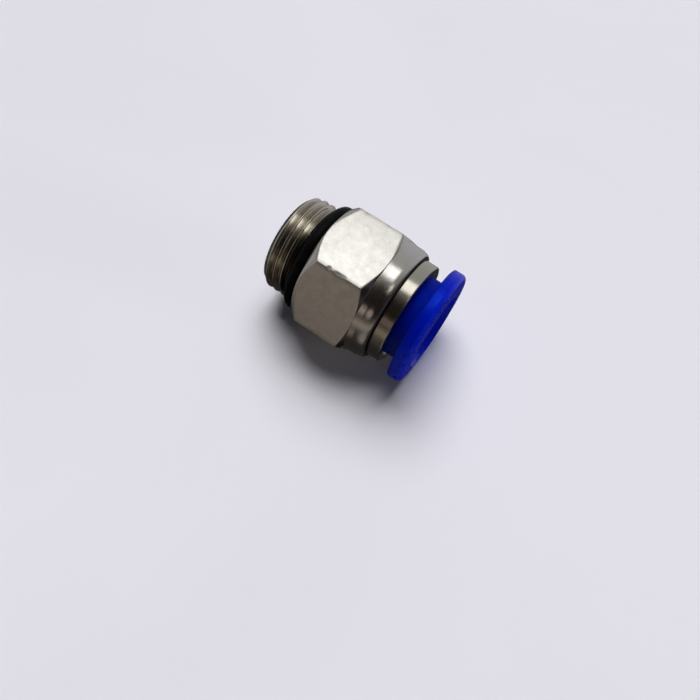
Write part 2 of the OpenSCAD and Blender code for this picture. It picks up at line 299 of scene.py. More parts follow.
# bright nickel over brass: mottled on the rolled flats, ringed where it was turned, thin on edges and crests,
# darkened by painted shade in grooves, gaps and hollows (partly residue in the thread roots) and dull where
# it was knocked
def nickelFinish(name, s):
    made, tree, shader, at = newMaterial(name)
    grain = useGroup(tree, plateGrain, Place=at, Scale=s["grainScale"])
    rings = useGroup(tree, turningLines, Place=at, Spacing=s["ringSpacing"])["Height"]
    hair = useGroup(tree, hairScratches, Place=at, Turn=s["scratchTurn"])["Mask"]
    film = useGroup(tree, handling, Place=at, Scale=s["filmScale"])["Film"]
    worn = useGroup(tree, wornEdge, Edge=mark(tree, "edge"), Place=at, Amount=s["wear"])["Mask"]
    flat = mark(tree, "flatShare")
    tinted = blendColour(tree, grain["Patches"], s["light"], s["dark"])
    tinted = blendColour(tree, worn, tinted, s["worn"])
    # painted shade: where the mark is high the colour is blended towards the dark residue colour; only in the
    # thread roots is it partly real residue
    stainAndShade = maths(tree, "MULTIPLY", mark(tree, "groove"), spread(tree, grain["Grain"], *s["stainAndShadeBreak"]))
    stainAndShade = spread(tree, stainAndShade, *s["stainAndShadeSpan"], 0.0, s["stainAndShade"])
    tree.links.new(blendColour(tree, stainAndShade, tinted, s["residueAndShade"]), shader.inputs["Base Color"])
    polish = spread(tree, grain["Patches"], *noiseSpan, s["gloss"], s["gloss"] + s["patchRough"])
    rough = roughen(tree, polish, (film, s["filmRough"]), (hair, s["hairRough"]), (stainAndShade, s["stainAndShadeRough"]),
                    (mark(tree, "bruise"), s["bruiseRough"]), (flat, s["flatRough"]))
    tree.links.new(rough, shader.inputs["Roughness"])
    shader.inputs["Metallic"].default_value = 1.0
    ringHeight = maths(tree, "MULTIPLY", rings, maths(tree, "SUBTRACT", 1.0, flat))
    grainHeight = maths(tree, "MULTIPLY", grain["Grain"], maths(tree, "ADD", flat, s["turnedGrain"]))
    normal = bump(tree, grainHeight, s["grainDepth"], bump(tree, ringHeight, s["ringDepth"]))
    normal = bump(tree, maths(tree, "MULTIPLY", hair, -1.0), s["hairDepth"], normal)
    tree.links.new(normal, shader.inputs["Normal"])
    return made


plating = {  # what both plated pieces share; the painted shade's break-up is from, to, and the shares there
    "filmScale": 0.35, "patchRough": 0.05, "filmRough": 0.05, "hairRough": 0.10, "stainAndShadeRough": 0.25,
    "bruiseRough": 0.45, "stainAndShadeBreak": (0.25, 0.6, 0.8, 1.0), "stainAndShadeSpan": (0.38, 0.9),
    "turnedGrain": 0.25, "hairDepth": 0.001,
}
# the residue colours below are the dark that the painted shade blends to, real residue only in part in the
# thread roots
nickelBody = nickelFinish("nickelBody", {
    **plating, "light": (0.83, 0.815, 0.785), "dark": (0.75, 0.732, 0.688), "worn": (0.80, 0.68, 0.46),
    "wear": 0.55, "residueAndShade": (0.040, 0.031, 0.022), "stainAndShade": 0.85, "grainScale": 0.9, "grainDepth": 0.0045,
    "ringSpacing": 0.09, "ringDepth": 0.0004, "scratchTurn": 0.35, "gloss": 0.10, "flatRough": 0.11})
# darker and browner than the body: partly the collar's own tint, partly painted shade standing in for its
# darker reflections
nickelCollar = nickelFinish("nickelCollar", {
    **plating, "light": (0.72, 0.695, 0.61), "dark": (0.62, 0.59, 0.50), "worn": (0.66, 0.55, 0.38),
    "wear": 0.3, "residueAndShade": (0.030, 0.026, 0.020), "stainAndShade": 0.97, "grainScale": 0.7, "grainDepth": 0.003,
    "ringSpacing": 0.07, "ringDepth": 0.0015, "scratchTurn": 1.2, "gloss": 0.17, "flatRough": 0.0})


# unplated metal inside: brass ring and spring sheet
def bareMetal(name, s):
    made, tree, shader, at = newMaterial(name)
    grain = useGroup(tree, plateGrain, Place=at, Scale=s["grainScale"])
    rings = useGroup(tree, turningLines, Place=at, Spacing=s["ringSpacing"])["Height"]
    hair = useGroup(tree, hairScratches, Place=at, Turn=s["scratchTurn"])["Mask"]
    tree.links.new(blendColour(tree, grain["Patches"], s["light"], s["dark"]), shader.inputs["Base Color"])
    polish = spread(tree, grain["Grain"], *noiseSpan, s["gloss"], s["gloss"] + s["grainRough"])
    tree.links.new(roughen(tree, polish, (hair, s["hairRough"])), shader.inputs["Roughness"])
    shader.inputs["Metallic"].default_value = 1.0
    normal = bump(tree, grain["Grain"], s["grainDepth"], bump(tree, rings, s["ringDepth"]))
    tree.links.new(normal, shader.inputs["Normal"])
    return made


unplated = {"scratchTurn": 0.9, "grainRough": 0.12, "hairRough": 0.12, "grainDepth": 0.002}
turnedBrass = bareMetal("turnedBrass", {
    **unplated, "light": (0.83, 0.64, 0.31), "dark": (0.70, 0.50, 0.22), "grainScale": 0.8,
    "ringSpacing": 0.12, "ringDepth": 0.003, "gloss": 0.24})
springSheet = bareMetal("springSheet", {
    **unplated, "light": (0.66, 0.655, 0.64), "dark": (0.52, 0.515, 0.50), "grainScale": 1.4,
    "ringSpacing": 0.25, "ringDepth": 0.0006, "gloss": 0.22})


# moulded nitrile rubber: near black, satin, with a faint bloom
def rubberFinish(name, s):
    made, tree, shader, at = newMaterial(name)
    grain = useGroup(tree, plateGrain, Place=at, Scale=s["grainScale"])
    film = useGroup(tree, handling, Place=at, Scale=s["filmScale"])["Film"]
    bloom = maths(tree, "MULTIPLY", film, s["bloom"])
    tree.links.new(blendColour(tree, bloom, s["black"], s["dusty"]), shader.inputs["Base Color"])
    satin = spread(tree, grain["Patches"], *noiseSpan, s["gloss"], s["gloss"] + s["patchRough"])
    tree.links.new(satin, shader.inputs["Roughness"])
    tree.links.new(bump(tree, grain["Grain"], s["grainDepth"]), shader.inputs["Normal"])
    shader.inputs["Specular IOR Level"].default_value = s["shine"]
    return made


sealRubber = rubberFinish("sealRubber", {
    "black": (0.0022, 0.0022, 0.0024), "dusty": (0.012, 0.012, 0.0125), "bloom": 0.25, "filmScale": 0.6,
    "grainScale": 1.6, "grainDepth": 0.006, "gloss": 0.34, "patchRough": 0.15, "shine": 0.06})


# moulded acetal: deep blue, painted darker as shade on the shank, the flange's back and inside, glossy where
# it is handled and dull inside, with flow marks and slight scuffs
def blueFinish(name, s):
    made, tree, shader, at = newMaterial(name)
    grain = useGroup(tree, plateGrain, Place=at, Scale=s["flowScale"])
    film = useGroup(tree, handling, Place=at, Scale=s["filmScale"])["Film"]
    hair = useGroup(tree, hairScratches, Place=at, Turn=s["scratchTurn"])["Mask"]
    worn = useGroup(tree, wornEdge, Edge=mark(tree, "edge"), Place=at, Amount=s["wear"])["Mask"]
    handledUnshaded = mark(tree, "handledUnshaded")
    base = blendColour(tree, grain["Patches"], s["light"], s["deep"])
    # painted shade: the darker blue where the handled mark is low, on the shank, the flange's back, most of
    # the bore and the fingers
    base = blendColour(tree, handledUnshaded, s["shade"], base)
    base = blendColour(tree, worn, base, s["scuffed"])
    tree.links.new(base, shader.inputs["Base Color"])
    polish = spread(tree, film, 0.0, 1.0, s["gloss"], s["gloss"] + s["filmRough"])
    polish = maths(tree, "ADD", polish, spread(tree, handledUnshaded, 0.0, 1.0, s["insideRough"], 0.0))
    tree.links.new(roughen(tree, polish, (hair, s["hairRough"])), shader.inputs["Roughness"])
    tree.links.new(bump(tree, grain["Grain"], s["flowDepth"]), shader.inputs["Normal"])
    shader.inputs["IOR"].default_value = s["ior"]
    shader.inputs["Specular IOR Level"].default_value = s["shine"]
    shader.inputs["Specular Tint"].default_value = (*s["tint"], 1.0)
    return made


blueAcetal = blueFinish("blueAcetal", {
    "light": (0.0004, 0.008, 0.46), "deep": (0.0003, 0.005, 0.38), "shade": (0.0002, 0.004, 0.21),
    "scuffed": (0.003, 0.03, 0.56), "wear": 0.5, "filmScale": 0.5, "scratchTurn": 0.6, "flowScale": 0.4,
    "flowDepth": 0.0012, "gloss": 0.24, "filmRough": 0.10, "insideRough": 0.45, "hairRough": 0.10,
    "ior": 1.6, "shine": 0.9, "tint": (0.02, 0.14, 1.0)})
print("finishes ready:", len(bpy.data.materials))

bodySizes = {
    "stubEnd": -7.05, "threadR": 8.331, "rootR": 7.4695, "pitch": 1.337, "land": 0.22, "flankSlope": 0.52057,
    "crestX": -6.35, "endChamfer": 0.75, "crestSoft": 0.30, "threadRows": 98,
    "reliefR": 7.2995, "reliefLen": 2.40, "flowR": 4.0,
    "apothem": 10.0, "cornerRound": 0.16, "hexLen": 9.6, "faceR": 9.875, "faceAngle": 48, "neckAngle": 30,
    "neckRootR": 9.97, "neckR": 9.83, "coneLen": 0.9, "neckLen": 0.25, "roundLen": 2.0, "roundDepth": 0.62,
    "cartridgeR": 8.4, "cartridgeStart": 6.3405, "glandR": 7.12, "glandStart": 4.0005,
    "socketR": 5.05, "tubeStop": 1.2005,
    # roundings along the inside, corner by corner, and in the relief
    "insideRounds": (0, 0.08, 0.05, 0.1, 0.05, 0.15, 0.05, 0.2, 0.3, 0), "reliefRound": 0.25,
    # rows that hold the shading at an edge: small steps, x and r beside the cone's ends, shares of a slope
    "rowGap": 0.05, "rowStep": 0.06, "lipStep": 0.1, "coneIn": (0.08, 0.008), "coneOut": (0.15, 0.015),
    "dropShares": (0.06, 0.5, 0.94), "cutShares": (0.1, 0.5, 0.9), "ellipseRows": 13,
    # columns in degrees from a corner's rounding, and from the corner: first, last and how many
    "roundColumns": 9, "nearCorner": (0.12, 0.4, 0.75, 1.15, 1.6, 2.2, 3.0), "overFlat": (4.5, 30, 19),
    # rows on a flat, more of them across the first dents; the corner edge's start and length along x
    "flatRows": 27, "finerDents": 3, "dentRows": 9, "dentReach": 1.5, "cornerFrom": 1.95, "cornerLen": 7.6,
    # dents on the corner edges: corner angle, turn from the edge, x, depth, length, width
    "dents": [(120, -0.2, 3.95, 0.20, 0.32, 0.26), (120, -0.1, 5.60, 0.20, 0.75, 0.22),
              (120, -0.6, 6.60, 0.08, 0.40, 0.20), (120, 0.6, 7.6, 0.05, 0.2, 0.2),
              (60, 0.3, 3.1, 0.07, 0.2, 0.2), (60, -0.6, 7.0, 0.09, 0.3, 0.2),
              (180, 0.2, 5.2, 0.08, 0.3, 0.2), (240, 0.0, 6.4, 0.10, 0.3, 0.2),
              (300, 0.5, 3.9, 0.09, 0.3, 0.2), (0, -0.3, 4.6, 0.07, 0.25, 0.2),
              (0, 0.4, 8.2, 0.06, 0.2, 0.2)],
}
bodyWearAndShade = {
    "cornerW": 0.35, "endW": 0.25, "cornerThin": 0.65, "endThin": 0.6,  # plating that is thin on edges
    "crestDepth": 0.30, "crestFade": 0.25, "flankThin": 0.75, "crestThin": 0.25, "cutThin": 0.4,
    # the root, corner, seal and collar keys below set painted shade, which is partly residue in the thread
    # roots
    "rootClear": 0.06, "rootDirtAndShade": 0.8, "nearGain": 2.6, "nearFrom": 0.3, "cornerShadeFade": 0.03,
    "sealShade": 0.9, "sealShadeX": -3.3, "sealShadeLen": 0.6, "faceCutDarkening": (0, 0.4, 0.62),
    "collarShade": (0.4, 0.55, 0.75, 0.9, 1, 1, 1, 1),  # painted shade, row by row into the gap at the collar
    "neckDull": 0.45, "cornerDull": 0.5, "dullDepth": 0.10,
}


# radius of a hexagon with rounded corners, at a turn from the corner: the flat's line a / cos(30 - t), or
# inside the corner the circle of the rounding, whose centre lies on the corner's ray
def hexRadius(turn, apothem, rounding):
    t = np.abs(turn)
    centre = (apothem - rounding) / math.cos(math.pi / 6)
    touch = math.atan2(rounding / 2, centre + rounding * math.cos(math.pi / 6))
    inCorner = centre * np.cos(t) + np.sqrt(np.maximum(rounding ** 2 - (centre * np.sin(t)) ** 2, 0))
    return np.where(t < touch, inCorner, apothem / np.cos(np.pi / 6 - t)), touch


# pipe thread with round crests and roots: the height over the root falls with the distance from the crest's
# helix, is clipped softly between root and crest and stretched to the full depth, then cut by the end's cone
def threadRadius(x, angles, s):
    helix = s["crestX"] + s["pitch"] * (angles - np.pi / 2) / (2 * np.pi)
    away = np.abs((x - helix + s["pitch"] / 2) % s["pitch"] - s["pitch"] / 2)
    height = (s["pitch"] / 2 - s["land"] / 2 - away) / s["flankSlope"]
    depth, soft = s["threadR"] - s["rootR"], s["crestSoft"]

    def over(v):  # v where it is above 0, with a soft bend
        return (v + np.sqrt(v * v + soft * soft)) / 2
    ridge = over(height) - over(height - depth)
    ridge = depth * (ridge - ridge.min()) / (ridge.max() - ridge.min())
    cone = (x - s["stubEnd"]) / s["endChamfer"] * depth
    return s["rootR"] + cone - over(cone - ridge)


# the whole body is one closed sheet: rows run from the neck inwards through the bores, out over the stub's
# end, the thread, the relief and the hexagon, and back to the neck
def makeBody(s, w):
    touch = hexRadius(np.zeros(1), s["apothem"], s["cornerRound"])[1]
    arc = np.linspace(-touch, touch, s["roundColumns"])
    side = np.concatenate([touch + np.radians(s["nearCorner"]), np.radians(np.linspace(*s["overFlat"]))])
    sector = np.concatenate([-side[:-1][::-1], arc, side])
    turn = np.tile(sector, 6)[None]
    angles = (np.repeat(np.arange(6), len(sector)) * np.pi / 3 + np.tile(sector, 6))[None]
    level = np.ones_like(angles)
    hexR = hexRadius(turn, s["apothem"], s["cornerRound"])[0]
    cornerR = s["apothem"] / math.cos(math.pi / 6)
    tanFace, tanNeck = math.tan(math.radians(s["faceAngle"])), math.tan(math.radians(s["neckAngle"]))
    coneStart = s["hexLen"] + (cornerR - s["neckRootR"]) * tanNeck
    coneEnd = coneStart + s["coneLen"]
    roundStart = coneEnd + s["neckLen"]
    neckEnd = roundStart + s["roundLen"]
    endR = s["neckR"] - s["roundDepth"]

    # the neck: a slight cone with rows close to its ends, then a quarter of an ellipse
    gap, step = s["rowGap"], s["rowStep"]
    (inX, inR), (outX, outR) = s["coneIn"], s["coneOut"]
    cone = [[coneStart, s["neckRootR"]], [coneStart + inX, s["neckRootR"] - inR],
            [coneEnd - outX, s["neckR"] + outR], [coneEnd + step, s["neckR"]],
            [roundStart - step, s["neckR"]]]
    q = np.linspace(0, np.pi / 2, s["ellipseRows"])
    ellipse = np.stack([roundStart + s["roundLen"] * np.sin(q), endR + s["roundDepth"] * np.cos(q)], -1)
    neck = np.concatenate([cone, ellipse])
    inside = roundedPath(
        [[neckEnd, endR - s["lipStep"]], [neckEnd, s["cartridgeR"]], [s["cartridgeStart"], s["cartridgeR"]],
         [s["cartridgeStart"], s["glandR"]], [s["glandStart"], s["glandR"]], [s["glandStart"], s["socketR"]],
         [s["tubeStop"], s["socketR"]], [s["tubeStop"], s["flowR"]], [s["stubEnd"], s["flowR"]],
         [s["stubEnd"], s["rootR"] - step]],
        s["insideRounds"], closed=False)
    threadX = np.linspace(s["stubEnd"], -s["reliefLen"], s["threadRows"])[:, None]
    threadR = threadRadius(threadX, angles, s)
    drop = np.array(s["dropShares"])[:, None]  # from the thread's last row down to the relief
    dropX = -s["reliefLen"] + gap * drop
    dropR = threadR[-1:] * (1 - drop) + s["reliefR"] * drop
    relief = roundedPath([[-s["reliefLen"] + step, s["reliefR"]], [0, s["reliefR"]], [0, s["faceR"] - gap]],
                         [0, s["reliefRound"], 0], closed=False)
    # both ends of the hexagon are cut by cones, so the flats end in curves
    cut = np.array(s["cutShares"])[:, None]
    faceX = (hexR - s["faceR"]) * tanFace
    neckX = s["hexLen"] + (cornerR - hexR) * tanNeck
    faceCut = (cut * faceX, s["faceR"] + cut * (hexR - s["faceR"]))
    neckCut = (neckX + cut * (coneStart - neckX), hexR + cut * (s["neckRootR"] - hexR))
    flatStart, flatEnd = faceX + gap, neckX - gap
    dents = np.array(s["dents"])
    acrossDents = np.linspace(-s["dentReach"], s["dentReach"], s["dentRows"])
    atDents = (dents[:, 2:3] + acrossDents * dents[:, 4:5] - s["cornerFrom"]) / s["cornerLen"]
    share = np.concatenate([np.linspace(0, 1, s["flatRows"]), atDents[:s["finerDents"]].ravel()])
    share = np.unique(np.round(np.clip(share, 0, 1), 3))[:, None]
    flatX = flatStart + share * (flatEnd - flatStart)
    # each dent takes off depth * exp(-(dx / length)^2 - (arc / width)^2)
    dentTurn = np.radians(dents[:, 0] + dents[:, 1])[:, None, None]
    dentX, depth, length, width = dents.T[2:, :, None, None]
    arcAway = ((angles[None] - dentTurn + np.pi) % (2 * np.pi) - np.pi) * hexR[None]
    along = (flatX[None] - dentX) / length
    knocked = (depth * np.exp(-along ** 2 - (arcAway / width) ** 2)).sum(0)
    flatR = hexR - knocked

    def rows(path):
        return path[:, :1] * level, path[:, 1:] * level
    parts = {"neck": rows(neck), "inside": rows(inside), "thread": (threadX * level, threadR),
             "drop": (dropX * level, dropR), "relief": rows(relief), "faceCut": faceCut,
             "flat": (flatX, flatR), "neckCut": neckCut}
    x, r = (np.concatenate([p[k] for p in parts.values()]) for k in (0, 1))
    counts = [len(p[0]) for p in parts.values()]
    rowsOf = {name: slice(end - n, end) for name, end, n in zip(parts, np.cumsum(counts), counts)}

    def on(*wanted):  # 1 on the rows of these parts
        return np.repeat([float(name in wanted) for name in parts], counts)[:, None] * level
    cornerNear = np.exp(-(np.abs(turn) * s["apothem"] / w["cornerW"]) ** 2) * level
    endNear = np.exp(-((x - faceX) / w["endW"]) ** 2) + np.exp(-((x - neckX) / w["endW"]) ** 2)
    crest = np.clip((r - s["threadR"] + w["crestDepth"]) / w["crestFade"], 0, 1)
    edge = on("flat") * np.clip(w["cornerThin"] * cornerNear + w["endThin"] * endNear, 0, 1)
    edge += on("thread") * (w["flankThin"] + w["crestThin"] * crest) + w["cutThin"] * on("faceCut", "neckCut")
    root = np.clip((s["threadR"] - w["rootClear"] - r) / (s["threadR"] - s["rootR"]), 0, 1)
    nearSide = np.clip(-w["nearGain"] * np.cos(angles) - w["nearFrom"], 0, 1)  # the side towards -Y, the only side that the painted shade below is put on
    cornerShade = on("neckCut") * cornerNear ** w["cornerShadeFade"] * nearSide  # painted shade behind the near corners
    # painted shade on the last turns beside the seal, on the near side only
    shadeBesideSeal = on("thread") * np.clip((x - w["sealShadeX"]) / w["sealShadeLen"], 0, 1) * nearSide
    # painted shade in the drop and the relief, and in the thread roots, where it is partly residue
    groove = on("drop", "relief") + w["rootDirtAndShade"] * on("thread") * root + cornerShade + w["sealShade"] * shadeBesideSeal
    # darker on the thread-side cut, more towards the flat
    groove[rowsOf["faceCut"]] = np.array(w["faceCutDarkening"])[:, None]
    # painted shade into the gap at the collar: the neck's last rows and the first rows of the inside
    half = len(w["collarShade"]) // 2
    groove[len(neck) - half:len(neck) + half] = np.array(w["collarShade"])[:, None]
    bruise = w["cornerDull"] * on("flat") * cornerNear + cornerShade  # knocks and corner edges are dull, and so is the painted shade behind the corners
    bruise[rowsOf["flat"]] += np.clip(knocked / w["dullDepth"], 0, 1)
    marks = {"flatShare": on("flat") + w["neckDull"] * on("neck"), "edge": edge, "groove": groove,
             "bruise": np.clip(bruise, 0, 1)}
    makePiece("fittingBody", turned(x, r, angles), [gridFaces(*x.shape)], nickelBody, "fitting",
              ["body"], marks, crease=60)
    print("body:", x.shape[0], "rows by", x.shape[1], "columns")
    return neckEnd


neckEnd = makeBody(bodySizes, bodyWearAndShade)

collarSizes = {"start": 9.3005, "end": 16.0305, "insideR": 7.55, "pressR": 8.4, "lineR": 8.55, "lineW": 0.22,
               "outR": 8.74, "guideR": 7.12, "guideStart": 12.3805, "mouth": 0.35,
               # roundings, corner by corner
               "rounds": (0.06, 0.06, 0.02, 0.02, 0.03, 0.05, 0.28, 0.08, 0.1, 0.06, 0.06),
               # the three keys after columns place the painted shade in the shadow line
               "columns": 256, "shadePast": 0.02, "shadeFade": 0.05, "shadeBelow": 0.03, "rimW": 0.25}


# a turned ring: pressed part, shadow line against the neck, visible band, and the guide for the sleeve
def makeCollar(s):
    bandStart = neckEnd + s["lineW"]
    loop = roundedPath(
        [[s["start"], s["insideR"]], [s["start"], s["pressR"]], [neckEnd, s["pressR"]], [neckEnd, s["lineR"]],
         [bandStart, s["lineR"]], [bandStart, s["outR"]], [s["end"], s["outR"]],
         [s["end"], s["guideR"] + s["mouth"]], [s["end"] - s["mouth"], s["guideR"]],
         [s["guideStart"], s["guideR"]], [s["guideStart"], s["insideR"]]],
        s["rounds"])
    # painted shade in the shadow line against the neck, below the band's outside
    lineShade = np.clip((bandStart + s["shadePast"] - loop[:, 0]) / s["shadeFade"], 0, 1)
    lineShade = lineShade * (loop[:, 1] < s["outR"] - s["shadeBelow"])
    rim = np.exp(-((loop[:, 0] - s["end"]) / s["rimW"]) ** 2) * (loop[:, 1] > s["pressR"])
    turnedRing("pressedCollar", loop, nickelCollar, "fitting", ["collar"], s["columns"],
               {"groove": lineShade, "edge": rim})
    print("collar:", len(loop), "rows")


makeCollar(collarSizes)

sealSizes = {"flash": 0.012, "flashW": 0.07, "aroundSection": 48, "columns": 192}


# a ring of round section with the mould's thin line standing out inside and outside:
# section radius = half - flash + flash * exp(-(angle from the equator / width)^2)
def makeSeal(name, nodeName, s):
    low, high = (np.array(v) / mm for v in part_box(nodeName))
    half, outR = (high[0] - low[0]) / 2, high[2]
    a = np.linspace(0, 2 * np.pi, s["aroundSection"], endpoint=False)
    fromEquator = np.abs((a + np.pi / 2) % np.pi - np.pi / 2)
    section = half - s["flash"] + s["flash"] * np.exp(-(fromEquator / s["flashW"]) ** 2)
    loop = np.stack([(low[0] + high[0]) / 2 + section * np.sin(a), outR - half + section * np.cos(a)], -1)
    turnedRing(name, loop, sealRubber, "fitting", [nodeName], s["columns"])


makeSeal("faceSealRing", "face_seal", sealSizes)
makeSeal("tubeSealRing", "tube_seal", sealSizes)
print("seals ready")

seatSizes = {"start": 6.3405, "end": 8.7905, "outR": 8.4, "hollowR": 7.15, "landEnd": 6.7905, "stepR": 5.375,
             "insideR": 5.15, "rounds": (0.08, 0.1, 0.1, 0.1, 0.05, 0.08)}
rimSizes = {"insideR": 7.15, "outR": 8.32, "round": 0.1}
clawSizes = {"count": 12, "bendX": 9.0455, "bendR": 6.75, "slope": 38, "thick": 0.35, "length": 2.4111,
             "rootW": 2.6, "tipW": 1.9, "heel": 0.06, "bevel": 0.06, "cornerRound": 0.3, "heelRound": 0.08,
             "shrink": (0.45, 0.9, 1, 1, 0.9, 0.45)}  # of the outline, row by row from face to face


# a turned ring whose inside opens in a cone from the seal's land to the claws
def makeSeat(s):
    loop = roundedPath(
        [[s["start"], s["insideR"]], [s["start"], s["outR"]], [s["end"], s["outR"]], [s["end"], s["hollowR"]],
         [s["landEnd"], s["stepR"]], [s["landEnd"], s["insideR"]]],
        s["rounds"])
    turnedRing("clawSeatRing", loop, turnedBrass, "fitting", ["claw_seat"])


# a flat ring of the claws' sheet, turned from a rectangle with rounded corners
def makeRim(s, claw):
    back, front = claw["bendX"] - claw["thick"] / 2, claw["bendX"] + claw["thick"] / 2
    loop = roundedPath([[back, s["insideR"]], [back, s["outR"]], [front, s["outR"]], [front, s["insideR"]]],
                       [s["round"]] * 4)
    turnedRing("clawRimRing", loop, springSheet, "claw_ring", ["claw_rim"])


# a claw is a tapered plate: its outline shrinks to a point on each face, the side has a small bevel, and the
# tip is ground back with height; the plate is tipped to its slope and turned to its place round the axis
def makeClaws(s):
    outline = roundedPath([[-s["heel"], -s["rootW"] / 2], [s["length"], -s["tipW"] / 2],
                           [s["length"], s["tipW"] / 2], [-s["heel"], s["rootW"] / 2]],
                          [s["heelRound"], s["cornerRound"], s["cornerRound"], s["heelRound"]], steps=5)
    middle = outline.mean(0)
    scale = np.array(s["shrink"])[:, None, None]
    half, b = s["thick"] / 2, s["bevel"]
    height = np.array([-half, -half, -half + b, half - b, half, half])[:, None]
    plan = middle + scale * (outline - middle)
    grind = 1 - (height + half) / 2 / s["length"]
    plate = np.stack([plan[..., 0] * grind, plan[..., 1], height + 0 * plan[..., 0]], -1)
    ends = np.array([[middle[0], middle[1], -half], [middle[0], middle[1], half]])
    points = np.concatenate([plate.reshape(-1, 3), ends])
    rowsN, colsN = plate.shape[:2]
    quads = gridFaces(rowsN, colsN, wrapRows=False)
    j = np.arange(colsN)
    lid = (rowsN - 1) * colsN
    fans = np.concatenate([np.stack([j, (j + 1) % colsN, 0 * j + rowsN * colsN], -1),
                           np.stack([lid + (j + 1) % colsN, lid + j, 0 * j + rowsN * colsN + 1], -1)])
    tip = math.radians(90 + s["slope"])
    x = s["bendX"] + points[:, 0] * math.cos(tip) + points[:, 2] * math.sin(tip)
    up = s["bendR"] - points[:, 0] * math.sin(tip) + points[:, 2] * math.cos(tip)
    for k in range(s["count"]):
        a = 2 * math.pi * k / s["count"]
        y = points[:, 1] * math.cos(a) - up * math.sin(a)
        z = points[:, 1] * math.sin(a) + up * math.cos(a)
        name = f"claw_{k + 1}"
        makePiece(f"clawPlate_{k + 1}", np.stack([x, y, z], -1), [quads, fans], springSheet, name,
                  [name])
    print("claws:", s["count"])


makeSeat(seatSizes)
makeRim(rimSizes, clawSizes)
makeClaws(clawSizes)

sleeveSizes = {
    "noseX": 9.8455, "boreR": 5.15, "noseR": 6.0, "lipStart": 11.0805, "lipConeEnd": 11.7305,
    "lipEnd": 12.2805, "lipR": 7.4, "shankR": 7.0, "slotEnd": 15.0455, "flangeX": 18.3005, "flangeR": 9.8,
    "end": 20.7505, "frontSlope": 5, "mouthR": 6.65, "leadLen": 2.0, "slotW": 1.0, "slots": 4,
    "overlap": 0.4, "sunk": 0.02, "columns": 256, "fingerColumns": 33, "fanX": 12.0, "fanR": 5.6,
    # roundings of the ring and of a finger, corner by corner
    "ringRounds": (0.05, 0.05, 0.3, 0.25, 0.8, 0.12, 0.5), "ringSteps": 9,
    "fingerRounds": (0.08, 0.25, 0.1, 0.1, 0.08, 0.1, 0.02, 0.02),
    # scuffs on the flange's rim, and the handled part kept clear of the painted shade: where they begin, and
    # over what length they fade in
    "rimBelow": 0.5, "rimFade": 0.4, "rimBehind": 1.1, "rimLenFade": 0.5, "unshadedPast": 0.1, "unshadedFade": 0.3,
}


# a plain ring from the slots' ends to the flange, and between the slots a finger whose half angle at radius r
# is a quarter turn's half less asin(half slot / r), closed on each slot wall by a fan round an inner point
def makeSleeve(s):
    frontX = s["end"] - (s["flangeR"] - s["mouthR"]) * math.tan(math.radians(s["frontSlope"]))
    ring = roundedPath(
        [[s["slotEnd"], s["boreR"]], [s["slotEnd"], s["shankR"]], [s["flangeX"], s["shankR"]],
         [s["flangeX"], s["flangeR"]], [frontX, s["flangeR"]], [s["end"], s["mouthR"]],
         [s["end"] - s["leadLen"], s["boreR"]]],
        s["ringRounds"], steps=s["ringSteps"])
    angles = np.linspace(0, 2 * np.pi, s["columns"], endpoint=False)[None]
    points = [turned(ring[:, :1], ring[:, 1:], angles).reshape(-1, 3)]
    quads, fans = [gridFaces(len(ring), s["columns"])], []
    rim = np.clip((ring[:, 1] - s["flangeR"] + s["rimBelow"]) / s["rimFade"], 0, 1)
    rim = rim * np.clip((ring[:, 0] - s["end"] + s["rimBehind"]) / s["rimLenFade"], 0, 1)
    # the handled mark: 1 on the flange's outside, front and mouth, 0 on the shank, the flange's back and most
    # of the bore, which take the painted shade
    gripUnshaded = np.clip((ring[:, 0] - s["flangeX"] - s["unshadedPast"]) / s["unshadedFade"], 0, 1)
    edge, handledUnshaded = [np.repeat(rim, s["columns"])], [np.repeat(gripUnshaded, s["columns"])]
    # a finger reaches a little way into the ring, and its end is sunk below the ring's walls
    back, sunk = s["slotEnd"] + s["overlap"], s["sunk"]
    finger = roundedPath(
        [[s["noseX"], s["boreR"]], [s["noseX"], s["noseR"]], [s["lipStart"], s["noseR"]],
         [s["lipConeEnd"], s["lipR"]], [s["lipEnd"], s["lipR"]], [s["lipEnd"], s["shankR"]],
         [back, s["shankR"] - sunk], [back, s["boreR"] + sunk]],
        s["fingerRounds"])
    halfAngle = np.pi / s["slots"] - np.arcsin(s["slotW"] / 2 / finger[:, 1:])
    across = np.linspace(-1, 1, s["fingerColumns"])[None]
    fanHalf = np.pi / s["slots"] - math.asin(s["slotW"] / 2 / s["fanR"])
    rowsN, colsN = len(finger), s["fingerColumns"]
    i = np.arange(rowsN)
    nextI = (i + 1) % rowsN
    for k in range(s["slots"]):
        first = sum(len(p) for p in points)
        middle = 2 * np.pi * k / s["slots"]
        sheet = turned(finger[:, :1], finger[:, 1:], middle + across * halfAngle).reshape(-1, 3)
        fanTurn = middle + np.array([[-fanHalf, fanHalf]])
        hubs = turned(np.full((1, 2), s["fanX"]), s["fanR"], fanTurn).reshape(-1, 3)
        points += [sheet, hubs]
        plain = np.zeros(len(sheet) + len(hubs))
        edge.append(plain)
        handledUnshaded.append(plain)
        quads.append(gridFaces(rowsN, colsN, wrapCols=False, first=first))
        hub, last = first + rowsN * colsN, first + colsN - 1
        fans.append(np.stack([first + i * colsN, 0 * i + hub, first + nextI * colsN], -1))
        fans.append(np.stack([last + i * colsN, last + nextI * colsN, 0 * i + hub + 1], -1))
    makePiece("releaseSleeve", np.concatenate(points), [np.concatenate(quads), np.concatenate(fans)],
              blueAcetal, "sleeve", ["release_sleeve"],
              {"edge": np.concatenate(edge), "handledUnshaded": np.concatenate(handledUnshaded)})
    print("sleeve:", len(ring), "rows and", s["slots"], "fingers")


makeSleeve(sleeveSizes)

